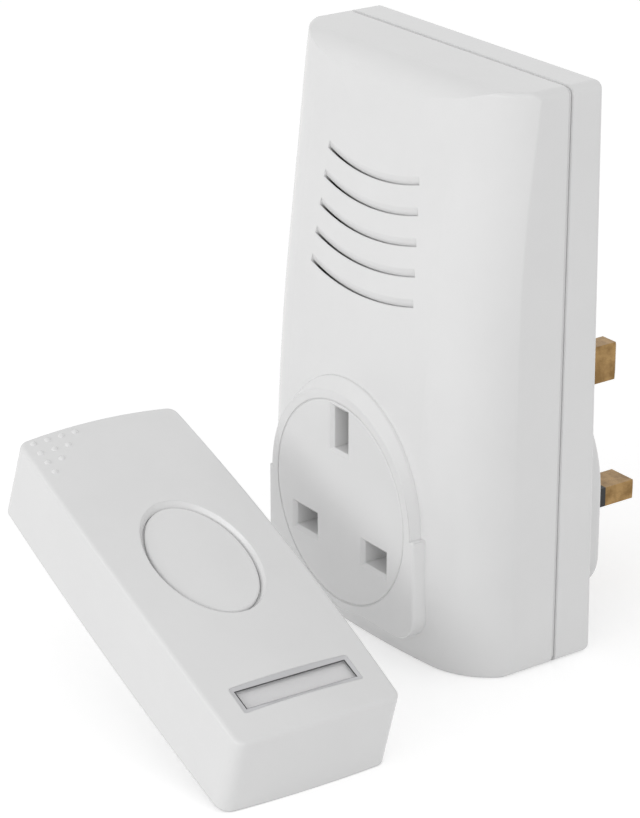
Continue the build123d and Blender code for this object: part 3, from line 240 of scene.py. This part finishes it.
def circuit_board(name, lacquer, copper):
    material, tree, shader, place = new_material(name)
    weave = add_node(tree, "ShaderNodeTexWave", {"Vector": place, "Scale": weave_scale, "Distortion": 0.4})
    tracks = add_node(tree, "ShaderNodeTexBrick", {"Vector": place, "Scale": 1 / (track_mm * MM),
                                                   "Color1": linear(lacquer), "Color2": linear(lacquer),
                                                   "Mortar": linear(copper), "Mortar Size": 0.03})
    bump = add_node(tree, "ShaderNodeBump", {"Height": weave.outputs["Fac"], "Strength": 0.2,
                                             "Distance": 0.02 * MM})
    set_inputs(tree, shader, {"Base Color": tracks.outputs["Color"], "Normal": bump.outputs["Normal"],
                              "Roughness": 0.3})
    return material


board_green = circuit_board("green lacquered board", "#1B6B3A", "#2A8049")
board_blue = circuit_board("blue lacquered board", "#1B3F73", "#2B558C")
print("a wave of scale 1 repeats every", round(wave_repeat, 3), "m, so the weave is drawn at",
      round(wave_repeat / weave_scale / MM, 2), "mm")

# %% Speaker paper
fibre_mm = 0.4
cone_paper, tree, shader, place = new_material("pressed paper pulp")
fibres = add_node(tree, "ShaderNodeTexNoise", {"Vector": place, "Scale": 1 / (fibre_mm * MM),
                                               "Detail": 4.0})
shade = add_node(tree, "ShaderNodeValToRGB", {"Fac": fibres.outputs["Fac"]})
shade.color_ramp.elements[0].color = linear("#141414")
shade.color_ramp.elements[1].color = linear("#2A2A2A")
rise = add_node(tree, "ShaderNodeBump", {"Height": fibres.outputs["Fac"], "Strength": 0.6,
                                         "Distance": 0.05 * MM})
set_inputs(tree, shader, {"Base Color": shade.outputs["Color"], "Normal": rise.outputs["Normal"],
                          "Roughness": 0.9})
print("paper ready, fibres at", fibre_mm, "mm")

# %% Clear window
scuff_mm = 1.5
window_acrylic, tree, shader, place = new_material("clear acrylic window")
scuff = add_node(tree, "ShaderNodeTexNoise", {"Vector": place, "Scale": 1 / (scuff_mm * MM),
                                              "Detail": 3.0})
haze = add_node(tree, "ShaderNodeMapRange", {"Value": scuff.outputs["Fac"], "To Min": 0.02,
                                             "To Max": 0.10})
set_inputs(tree, shader, {"Base Color": linear("#F4F5F5"), "Roughness": haze.outputs["Result"],
                          "IOR": 1.49, "Alpha": 0.12})
print("window ready, scuffs at", scuff_mm, "mm")

# %% [markdown]
# ## Giving every solid its finish
# A solid of the frame keeps its shape and only changes material. Its material could be set by hand, one
# object at a time. A table that names the solids of each finish is easier to check, and a loop puts
# each finish in the object's material slots.

# %% Assign the finishes
finishes = {
    housing_abs: ["chime_front_shell", "chime_rear_case", "push_cover", "push_back_plate"],
    button_abs: ["push_button"],
    socket_urea: ["socket_face"],
    carrier_nylon: ["contact_carrier"],
    shutter_nylon: ["socket_shutter", "switch_plunger"],
    sleeve_black: ["pin_sleeves"],
    epoxy_black: ["melody_chip", "encoder_chip", "switch_body"],
    card_white: ["label_card"],
    film_yellow: ["dropper_capacitor"],
    pin_brass: ["live_pin", "neutral_pin", "earth_pin"],
    strip_brass: ["live_contact", "neutral_contact", "earth_contact"],
    zinc_steel: ["case_screws", "circuit_board_screws", "push_board_screws"],
    spring_steel: ["shutter_spring"],
    nickel_strip: ["battery_flat_contact", "battery_spring_contact"],
    drawn_can: ["smoothing_capacitor", "saw_resonator"],
    pressed_steel: ["speaker_frame"],
    ferrite: ["speaker_magnet"],
    enamelled_wire: ["antenna_coil"],
    jacket_steel: ["battery"],
    board_green: ["chime_circuit_board", "push_circuit_board"],
    board_blue: ["receiver_module"],
    cone_paper: ["speaker_cone"],
    window_acrylic: ["label_window"],
}
for material, names in finishes.items():
    for name in names:
        mesh = nodes[name].data
        mesh.materials.clear()
        mesh.materials.append(material)
print("dressed", sum(len(names) for names in finishes.values()), "of", len(nodes), "solids")

# %% [markdown]
# ## Camera
# The photograph was taken from above the right front corner with a long lens. A camera could be placed
# by eye, but then every outline would be a little off. Its place and focal length were solved from the
# socket's standard spacings instead, so they are set here as plain numbers.

# %% Camera
def add_object(name, data):
    obj = bpy.data.objects.new(name, data)
    bpy.context.scene.collection.objects.link(obj)
    return obj


camera_data = bpy.data.cameras.new("product camera")
camera_data.sensor_fit = "VERTICAL"
camera_data.sensor_height = 36.0
camera_data.lens = 132.9
camera_data.clip_start = 0.01
camera_spot = Vector((0.42501, -0.32483, 0.25986))
azimuth, elevation = math.radians(54.53), math.radians(22.08)
look = Vector((-math.sin(azimuth) * math.cos(elevation), math.cos(azimuth) * math.cos(elevation),
               -math.sin(elevation)))
right = Vector((math.cos(azimuth), math.sin(azimuth), 0.0))
up = right.cross(look)
camera = add_object("product camera", camera_data)
camera.matrix_world = Matrix.Translation(camera_spot) @ Matrix((right, up, -look)).transposed().to_4x4()
bpy.context.scene.camera = camera
print("camera looks along", [round(value, 3) for value in look])

# %% [markdown]
# ## Floor, backdrop and light
# White plastic on white needs shape from light alone. Most of the light comes from all round, as in a
# light tent. A tent could be built from white walls, but a plain white world does the same with less
# noise. The floor and the world look white to the camera, in reflections and through clear parts, and
# dimmer to the rays that light matt surfaces, so that the white backdrop doesn't wash the object out.

# %% Rays that see a backdrop
pure_white = (1, 1, 1, 1)


def backdrop_rays(tree):
    """1 for a ray from the camera, off a gloss or through a clear part, and 0 for any other."""
    path = add_node(tree, "ShaderNodeLightPath").outputs
    seen = path["Is Camera Ray"]
    for other in ("Is Glossy Ray", "Is Transmission Ray"):
        seen = add_node(tree, "ShaderNodeMath", {0: seen, 1: path[other]}, operation="MAXIMUM").outputs[0]
    return seen


print("three kinds of ray see the backdrop")

# %% Floor
def mesh_object(name, points, faces, coats, place=Matrix()):
    """A mesh from points and faces, with its materials, moved into place and linked to the scene."""
    mesh = bpy.data.meshes.new(name)
    mesh.from_pydata(points, [], faces)
    for coat in coats:
        mesh.materials.append(coat)
    mesh.transform(place)
    mesh.update()
    return add_object(name, mesh)


floor_paper = bpy.data.materials.new("pale studio floor")
tree = bare_tree(floor_paper)
matt = add_node(tree, "ShaderNodeBsdfDiffuse", {"Color": linear("#F2F2F2")}).outputs["BSDF"]
glow = add_node(tree, "ShaderNodeEmission", {"Color": pure_white, "Strength": 0.42}).outputs["Emission"]
both = add_node(tree, "ShaderNodeAddShader", {0: matt, 1: glow}).outputs["Shader"]
mix = add_node(tree, "ShaderNodeMixShader", {0: backdrop_rays(tree), 1: matt, 2: both})
add_node(tree, "ShaderNodeOutputMaterial", {"Surface": mix.outputs["Shader"]})

reach = 3.0
corners = [(-reach, -reach, 0), (reach, -reach, 0), (reach, reach, 0), (-reach, reach, 0)]
floor = mesh_object("floor", corners, [(0, 1, 2, 3)], [floor_paper])
print("floor", 2 * reach, "m wide")

# %% World
tent_light = 0.62
world = bpy.data.worlds.new("studio")
bpy.context.scene.world = world
tree = bare_tree(world)
dim = add_node(tree, "ShaderNodeBackground", {"Color": pure_white, "Strength": tent_light})
white = add_node(tree, "ShaderNodeBackground", {"Color": pure_white, "Strength": 1.0})
mix = add_node(tree, "ShaderNodeMixShader", {0: backdrop_rays(tree), 1: dim.outputs["Background"],
                                             2: white.outputs["Background"]})
add_node(tree, "ShaderNodeOutputWorld", {"Surface": mix.outputs["Shader"]})
bpy.context.scene.view_settings.view_transform = "Standard"
print("the world lights the object at", tent_light, "of full white")

# %% [markdown]
# ## Lamps
# A tent alone would leave the faces alike. A long low strip in front makes the fronts a step brighter
# than the flanks and draws the bright glints along bevels. A soft box at the right keeps the flanks
# from going dull, and a small lamp at the left adds glints to the edges that face that way. No lamp
# hangs straight above, so the top faces stay grey, as in the photograph.

# %% Three area lamps
aim = Vector((0, 0, 0.05))


def lamp(name, spot, width, height, watts):
    data = bpy.data.lights.new(name, "AREA")
    data.shape = "RECTANGLE"
    data.size, data.size_y, data.energy = width, height, watts
    obj = add_object(name, data)
    obj.location = spot
    obj.rotation_euler = (aim - Vector(spot)).to_track_quat("-Z", "Y").to_euler()


lamp("front strip light", (0.1, -1.2, 0.40), 1.7, 0.22, 3.4)
lamp("right soft box", (1.1, -0.45, 0.55), 0.5, 0.5, 0.95)
lamp("left edge light", (-0.62, -0.9, 0.62), 0.15, 0.35, 0.3)
print("three lamps aimed at", in_mm(aim))

# %% [markdown]
# ## Antenna coil
# The receiver's loading coil is enamelled wire wound in close turns. A stack of rings would be simpler,
# but a real winding climbs. A spiral curve swept with a round profile does climb, and Geometry Nodes
# keep the turn count, radius and wire thickness as named inputs.

# %% Helpers for Geometry Nodes
def socket_id(tree, name):
    return next(item.identifier for item in tree.interface.items_tree
                if item.item_type == "SOCKET" and item.in_out == "INPUT" and item.name == name)


def named_inputs(tree, sizes):
    for name, value in sizes.items():
        kind = "NodeSocketInt" if isinstance(value, int) else "NodeSocketFloat"
        tree.interface.new_socket(name, in_out="INPUT", socket_type=kind)
    tree.interface.new_socket("Geometry", in_out="OUTPUT", socket_type="NodeSocketGeometry")
    return add_node(tree, "NodeGroupInput").outputs


def finished_mesh(name, tree, sizes, place):
    """Run the tree on an empty mesh, keep its result as a plain mesh and move it into place."""
    holder = add_object(name + " source", bpy.data.meshes.new(name + " source"))
    modifier = holder.modifiers.new(name, "NODES")
    modifier.node_group = tree
    for key, value in sizes.items():
        modifier[socket_id(tree, key)] = value
    seen = holder.evaluated_get(bpy.context.evaluated_depsgraph_get())
    mesh = bpy.data.meshes.new_from_object(seen)
    mesh.name = name
    mesh.transform(place)
    holder.modifiers.remove(modifier)
    bpy.data.objects.remove(holder)
    return add_object(name, mesh)


print("a tree's result is kept as a plain mesh")

# %% Geometry Nodes: a wound coil
end_margin, wire_margin = 0.4 * MM, 0.3 * MM
coil_low, coil_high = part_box("antenna_coil")
coil_middle = (coil_low + coil_high) / 2
coil_sizes = {"Turns": 12.0, "Radius": (coil_high.z - coil_low.z) / 2 - wire_margin,
              "Length": coil_high.x - coil_low.x - 2 * end_margin, "Wire Radius": 0.27 * MM}
coil_tree = bpy.data.node_groups.new("wound coil", "GeometryNodeTree")
sizes = named_inputs(coil_tree, coil_sizes)
spiral = add_node(coil_tree, "GeometryNodeCurveSpiral", {
    "Resolution": 20, "Rotations": sizes["Turns"], "Start Radius": sizes["Radius"],
    "End Radius": sizes["Radius"], "Height": sizes["Length"]})
section = add_node(coil_tree, "GeometryNodeCurvePrimitiveCircle", {"Resolution": 8,
                                                                   "Radius": sizes["Wire Radius"]})
wire = add_node(coil_tree, "GeometryNodeCurveToMesh", {"Curve": spiral.outputs["Curve"],
                                                       "Profile Curve": section.outputs["Curve"],
                                                       "Fill Caps": True})
smooth = add_node(coil_tree, "GeometryNodeSetShadeSmooth", {"Geometry": wire.outputs["Mesh"]})
real = add_node(coil_tree, "GeometryNodeRealizeInstances", {"Geometry": smooth.outputs["Geometry"]})
coat = add_node(coil_tree, "GeometryNodeSetMaterial", {"Geometry": real.outputs["Geometry"],
                                                       "Material": enamelled_wire})
add_node(coil_tree, "NodeGroupOutput", {"Geometry": coat.outputs["Geometry"]})

along_x = Matrix.Rotation(math.radians(90), 4, "Y")
coil_start = Vector((coil_low.x + end_margin, coil_middle.y, coil_middle.z))
coil = finished_mesh("antenna_coil_turns", coil_tree, coil_sizes, Matrix.Translation(coil_start) @ along_x)
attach(coil, "chime")
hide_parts("antenna_coil")
print("coil faces:", len(coil.data.polygons))

# %% [markdown]
# ## The push's own frame
# The bell push lies tilted and slightly turned. Its small parts could be worked out in place, but they
# are easier to lay out flat and then carry over with one matrix. X runs down its length, Y across it
# and Z out of its face, which is crowned across and arched along. These numbers repeat those of the
# construction model.

# %% Push frame
push_length, push_width, push_height = 83.7 * MM, 34.4 * MM, 18.0 * MM
push_crown, push_arch, push_end_bow = 1.0 * MM, 0.9 * MM, 0.6 * MM
push_foot = Vector((46.2, -57.6, 0.0)) * MM
tilt, turn = math.radians(19.9), math.radians(-2.6)
push_x = Vector((math.cos(tilt) * math.cos(turn), math.cos(tilt) * math.sin(turn), -math.sin(tilt)))
push_y = Vector((-math.sin(turn), math.cos(turn), 0.0))
push_middle = push_foot - push_x * (push_length / 2 + push_end_bow)
push_axes = Matrix((push_x, push_y, push_x.cross(push_y))).transposed().to_4x4()
push_place = Matrix.Translation(push_middle) @ push_axes


def face_level(x, y):
    return push_height - push_crown * (2 * y / push_width) ** 2 - push_arch * (2 * x / push_length) ** 2


print("middle of the push's back in mm:", in_mm(push_middle))

# %% [markdown]
# ## Raised dots
# Ten small domes in a triangle let a finger find the push in the dark. They could be placed one by one,
# but they repeat by a rule, so Geometry Nodes lay them out: a square grid of points, less the points
# beyond its diagonal, each lifted to the crowned face and given a ball of which only the cap stands out.
# The sums below are written as a list, one line for each Math node: its name, what it does and what it
# works on.

# %% Geometry Nodes: where each dome stands
end_inset, side_inset = 2.0 * MM, 3.0 * MM
dot_sizes = {"Rows": 4, "Pitch": 2.87 * MM, "Ball Radius": 0.76 * MM, "Rise": 0.36 * MM,
             "Start X": -push_length / 2 + end_inset, "Start Y": -push_width / 2 + side_inset,
             "Face Height": push_height, "Crown": push_crown, "Arch": push_arch,
             "Half Width": push_width / 2, "Half Length": push_length / 2}
dot_tree = bpy.data.node_groups.new("triangle of domes", "GeometryNodeTree")
sizes = named_inputs(dot_tree, dot_sizes)
spot = add_node(dot_tree, "GeometryNodeInputPosition").outputs["Position"]
grid_spot = add_node(dot_tree, "ShaderNodeSeparateXYZ", {"Vector": spot}).outputs
known = {name: sizes[name] for name in dot_sizes}
known["Grid X"], known["Grid Y"] = grid_spot["X"], grid_spot["Y"]
sums = [
    ("Steps", "SUBTRACT", "Rows", 1.0),
    ("Span", "MULTIPLY", "Steps", "Pitch"),
    ("Half Span", "MULTIPLY", "Span", 0.5),
    ("Half Pitch", "MULTIPLY", "Pitch", 0.5),
    ("Diagonal", "ADD", "Grid X", "Grid Y"),
    ("From End", "ADD", "Grid X", "Half Span"),
    ("X", "ADD", "From End", "Start X"),
    ("From Side", "ADD", "Grid Y", "Half Span"),
    ("Y", "ADD", "From Side", "Start Y"),
    ("Share Across", "DIVIDE", "Y", "Half Width"),
    ("Across Squared", "POWER", "Share Across", 2.0),
    ("Crown Fall", "MULTIPLY", "Across Squared", "Crown"),
    ("Share Along", "DIVIDE", "X", "Half Length"),
    ("Along Squared", "POWER", "Share Along", 2.0),
    ("Arch Fall", "MULTIPLY", "Along Squared", "Arch"),
    ("Fall", "ADD", "Crown Fall", "Arch Fall"),
    ("Face Level", "SUBTRACT", "Face Height", "Fall"),
    ("Ball Lift", "SUBTRACT", "Rise", "Ball Radius"),
    ("Z", "ADD", "Face Level", "Ball Lift"),
]
for name, operation, first, second in sums:
    terms = {0: known.get(first, first), 1: known.get(second, second)}
    known[name] = add_node(dot_tree, "ShaderNodeMath", terms, operation=operation).outputs[0]
print("a dome's place takes", len(sums), "sums")

# %% Geometry Nodes: a triangle of domes
segments, stacks = 24, 16
grid = add_node(dot_tree, "GeometryNodeMeshGrid", {"Size X": known["Span"], "Size Y": known["Span"],
                                                   "Vertices X": sizes["Rows"], "Vertices Y": sizes["Rows"]})
beyond = add_node(dot_tree, "FunctionNodeCompare", {0: known["Diagonal"], 1: known["Half Pitch"]},
                  data_type="FLOAT", operation="GREATER_THAN")
triangle = add_node(dot_tree, "GeometryNodeDeleteGeometry", {"Geometry": grid.outputs["Mesh"],
                                                             "Selection": beyond.outputs["Result"]})
seat = add_node(dot_tree, "ShaderNodeCombineXYZ", {axis: known[axis] for axis in "XYZ"})
lifted = add_node(dot_tree, "GeometryNodeSetPosition", {"Geometry": triangle.outputs["Geometry"],
                                                        "Position": seat.outputs["Vector"]})
ball = add_node(dot_tree, "GeometryNodeMeshUVSphere", {"Segments": segments, "Rings": stacks,
                                                       "Radius": sizes["Ball Radius"]})
balls = add_node(dot_tree, "GeometryNodeInstanceOnPoints", {"Points": lifted.outputs["Geometry"],
                                                            "Instance": ball.outputs["Mesh"]})
real = add_node(dot_tree, "GeometryNodeRealizeInstances", {"Geometry": balls.outputs["Instances"]})
smooth = add_node(dot_tree, "GeometryNodeSetShadeSmooth", {"Geometry": real.outputs["Geometry"]})
coat = add_node(dot_tree, "GeometryNodeSetMaterial", {"Geometry": smooth.outputs["Geometry"],
                                                      "Material": button_abs})
add_node(dot_tree, "NodeGroupOutput", {"Geometry": coat.outputs["Geometry"]})

dots = finished_mesh("finger_dots", dot_tree, dot_sizes, push_place)
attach(dots, "push")
print("dots:", len(dots.data.polygons) // (segments * stacks), "faces:", len(dots.data.polygons))

# %% [markdown]
# ## Label window
# The name card lies under a clear acrylic chip whose moulded frame slopes from the cover's face down
# to the card. Light that enters the sloping edge doesn't come out again, so the slope looks smoky
# grey and ends in a thin dark line, while the flat middle is clear. Real refraction would need many
# bounces for that, so the slope's grey and the thin dark line are painted shade, each zone with a
# material of its own. The painted dark line shows on three sides and not on the one by the push's end.
# The frame's outer edge follows the crowned face. It is built as rings of points round the recess,
# each ring a size and a level.

# %% Rings of points round the label's recess
# The slope's pale grey and the thin dark line are painted shade for light lost inside the acrylic.
window_edge_shade = moulded_plastic("acrylic window's edge, painted grey shade", "#DCDCDE", "#D2D2D4", 0.2, 0.5, 0.002)
window_shade_line = moulded_plastic("painted shade line under the window", "#626264", "#5A5A5C", 0.5, 0.5, 0.002)
label_x, half_x, half_y = push_length / 2 - 9.3 * MM, 2.97 * MM, 12.07 * MM
steps_x, steps_y = 6, 24
recess_depth = 2.1 * MM
recess_floor = push_height - recess_depth
under_level = recess_floor + 0.32 * MM
pane_level = recess_floor + 0.9 * MM
shade_line_level = pane_level - 0.12 * MM


def below_face(x, y):
    return face_level(x, y) - 0.06 * MM


def recess_ring(shrink, level):
    """Points round the recess, shrunk inwards; level is a height or a function of x and y."""
    a, b = half_x - shrink, half_y - shrink
    run_x = [-a + 2 * a * i / steps_x for i in range(steps_x)]
    run_y = [-b + 2 * b * i / steps_y for i in range(steps_y)]
    flat = ([(x, -b) for x in run_x] + [(a, y) for y in run_y] + [(-x, b) for x in run_x]
            + [(-a, -y) for y in run_y])
    return [(label_x + x, y, level(label_x + x, y) if callable(level) else level) for x, y in flat]


window_profile = [(0.0, under_level), (0.0, below_face), (0.04, below_face), (0.72, pane_level),
                  (0.74, shade_line_level), (0.90, shade_line_level), (0.92, pane_level)]
rings = [recess_ring(shrink_mm * MM, level) for shrink_mm, level in window_profile]
print(len(rings), "rings of", len(rings[0]), "points")

# %% Label window with its sloping frame
slope, shade_line_zone, pane = 0, 1, 2
shade_line_bands = (3, 4, 5)
side_by_end = range(steps_x, steps_x + steps_y)
count = len(rings[0])
last = count * (len(rings) - 1)
points = [point for one in rings for point in one]
top_middle, under_middle = len(points), len(points) + 1
points += [(label_x, 0.0, pane_level), (label_x, 0.0, under_level)]
faces, zones = [], []
for band in range(len(rings) - 1):
    outer, inner = band * count, (band + 1) * count
    for i in range(count):
        j = (i + 1) % count
        faces.append((outer + i, outer + j, inner + j, inner + i))
        # Painted shade line on the three far sides, none on the side by the push's end.
        zones.append(shade_line_zone if band in shade_line_bands and i not in side_by_end else slope)
for i in range(count):
    faces.append((last + i, last + (i + 1) % count, top_middle))
for i in range(count):
    faces.append(((i + 1) % count, i, under_middle))
zones += [pane] * (2 * count)
window = mesh_object("label_window_chip", points, faces, [window_edge_shade, window_shade_line, window_acrylic],
                     push_place)
for face, zone in zip(window.data.polygons, zones):
    face.material_index = zone
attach(window, "push")
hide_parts("label_window")
print("window faces:", len(window.data.polygons), "of which in the painted shade line:", zones.count(shade_line_zone))

# %% [markdown]
# ## Rebate round the socket disc
# The socket disc sits in a rebate of the housing, so its gap is shallow and pale. A torus would bulge
# and a curve's bevel would round the corners, so a section of four corners is carried round the disc's
# axis and each corner is joined to the next section's. The ring closes the gap a little under the
# surface, and its sides reach just into the disc and the housing, so that no slit shows.

# %% Ring in the disc's gap
def angles_round(steps):
    return [2 * math.pi * i / steps for i in range(steps)]


def hoop(name, sections, coat, place=Matrix()):
    """Join the corners of each section to those of the next, and the last section to the first."""
    corners = len(sections[0])
    faces = []
    for i in range(len(sections)):
        j = (i + 1) % len(sections)
        for k in range(corners):
            n = (k + 1) % corners
            faces.append((corners * i + k, corners * i + n, corners * j + n, corners * j + k))
    return mesh_object(name, [point for section in sections for point in section], faces, [coat], place)


disc_low, disc_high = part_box("socket_face")
disc_x, disc_z = (disc_low.x + disc_high.x) / 2, (disc_low.z + disc_high.z) / 2
ring_inner, ring_outer = 20.15 * MM, 20.45 * MM
ring_front, ring_rear = disc_low.y + 0.14 * MM, disc_low.y + 1.1 * MM
ring_steps = 180
ring_section = [(ring_inner, ring_front), (ring_outer, ring_front), (ring_outer, ring_rear),
                (ring_inner, ring_rear)]
sections = [[(disc_x + radius * math.cos(angle), depth, disc_z + radius * math.sin(angle))
             for radius, depth in ring_section] for angle in angles_round(ring_steps)]
rebate = hoop("disc_rebate_ring", sections, housing_abs)
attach(rebate, "chime")
print("rebate ring faces:", len(rebate.data.polygons), "front at y", round(ring_front / MM, 2))

# %% [markdown]
# ## Shutter spring
# The leaf under the socket's shutter is pressed together as the shutter goes down. As a rigid solid it
# would pass through the shutter. Here it is copied from the frame as a plain mesh that keeps its place,
# and the frame's solid is hidden. A frame solid's triangles are loose, so its copy has its doubled
# points merged first.

# %% Leaf spring copied from the frame
merge_reach, end_reach = 0.001 * MM, 0.1 * MM
leaf_mesh = nodes["shutter_spring"].data.copy()
leaf_mesh.name = "shutter_spring_leaf"
merged = bmesh.new()
merged.from_mesh(leaf_mesh)
bmesh.ops.remove_doubles(merged, verts=merged.verts, dist=merge_reach)
merged.to_mesh(leaf_mesh)
merged.free()
leaf = add_object("shutter_spring_leaf", leaf_mesh)
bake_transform(leaf)
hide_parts("shutter_spring")

# %% [markdown]
# ## Web in the button's gap
# Under the button's rim the cover has a thin moulded web that keeps dust out. It makes the gap shallow
# and pale. A flat oval would miss the crowned face, so each section of the web is set a little below
# the face at its own place, and the same hoop joins them.

# %% Web round the button
button_x, button_half_x, button_half_y = -1.0 * MM, 14.15 * MM, 9.0 * MM
web_drop, web_depth, web_steps = 1.62 * MM, 0.5 * MM, 120
web_inner, web_outer = 0.03 * MM, 0.29 * MM
web_section = [(web_inner, 0.0), (web_outer, 0.0), (web_outer, web_depth), (web_inner, web_depth)]


def web_point(angle, outwards, depth):
    x = button_x + (button_half_x + outwards) * math.cos(angle)
    y = (button_half_y + outwards) * math.sin(angle)
    return x, y, face_level(x, y) - web_drop - depth


sections = [[web_point(angle, outwards, depth) for outwards, depth in web_section]
            for angle in angles_round(web_steps)]
web = hoop("button_gap_web", sections, housing_abs, push_place)
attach(web, "push")
print("web faces:", len(web.data.polygons))
